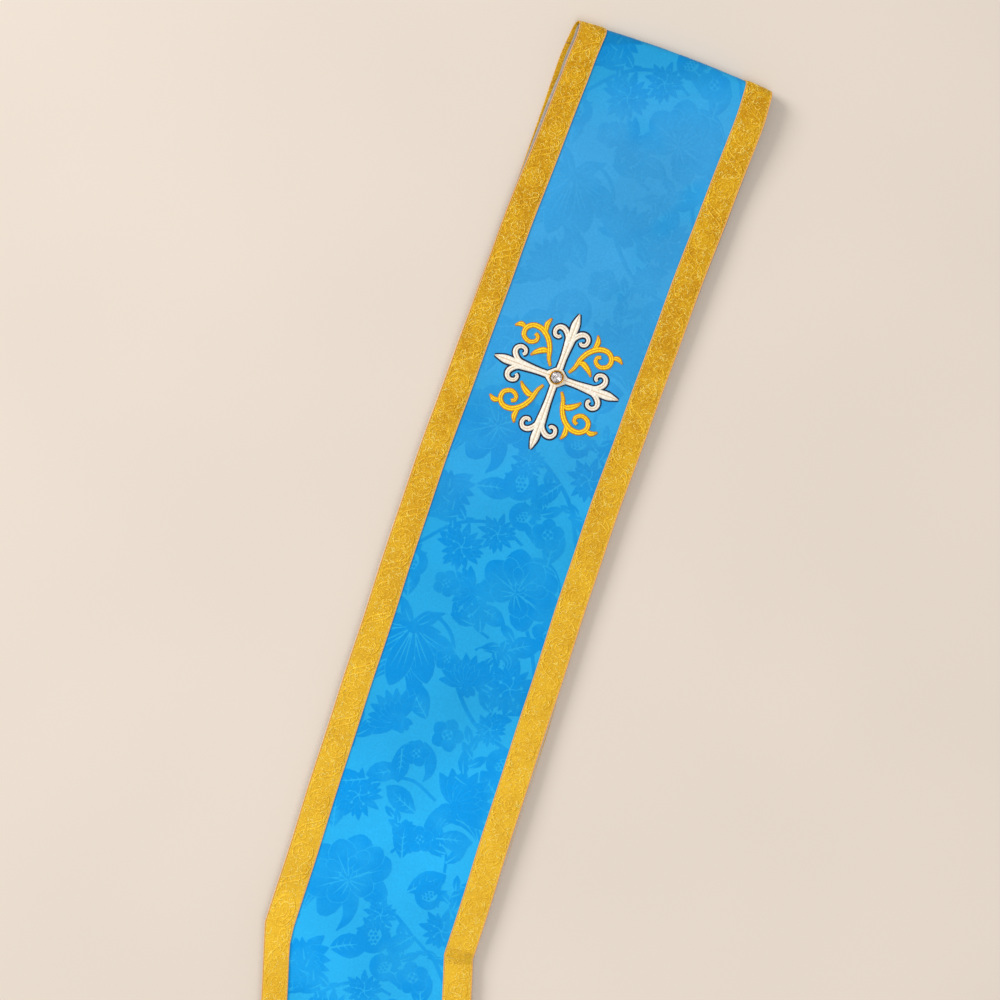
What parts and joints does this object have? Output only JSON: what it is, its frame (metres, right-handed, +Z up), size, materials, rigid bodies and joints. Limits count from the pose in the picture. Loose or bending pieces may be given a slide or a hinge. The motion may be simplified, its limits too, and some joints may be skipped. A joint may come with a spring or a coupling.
{
  "type": "deacon stole, folded flat",
  "caption": "Long lined damask band edged with gold galloon, folded in half at the shoulder and laid flat, bent at the hip, with an embroidered cross on the front half.",
  "frame": {"origin": "middle of the underside's bounding box", "axes": "+Z up from the surface that the stole lies on, +Y from the hem to the shoulder fold"},
  "size_m": [0.3516, 1.176, 0.0126],
  "materials": {
    "damask": "satin damask",
    "lining": "plain weave",
    "galloon": "metallic brocade",
    "embroidery_white": "satin stitch",
    "embroidery_gold": "satin stitch",
    "gilt": "polished",
    "crystal": "faceted"
  },
  "bodies": {
    "root": {"damask_front": "damask", "damask_back": "damask", "lining": "lining", "galloon_front_shoulder_left": "galloon", "galloon_front_shoulder_right": "galloon", "galloon_front_fall_left": "galloon", "galloon_front_fall_right": "galloon", "galloon_back_shoulder_left": "galloon", "galloon_back_shoulder_right": "galloon", "galloon_back_fall_left": "galloon", "galloon_back_fall_right": "galloon", "emblem_cross": "embroidery_white", "emblem_scroll_upper_left": "embroidery_gold", "emblem_scroll_upper_right": "embroidery_gold", "emblem_scroll_lower_left": "embroidery_gold", "emblem_scroll_lower_right": "embroidery_gold", "crystal_setting": "gilt", "crystal": "crystal"}
  },
  "joints": []
}
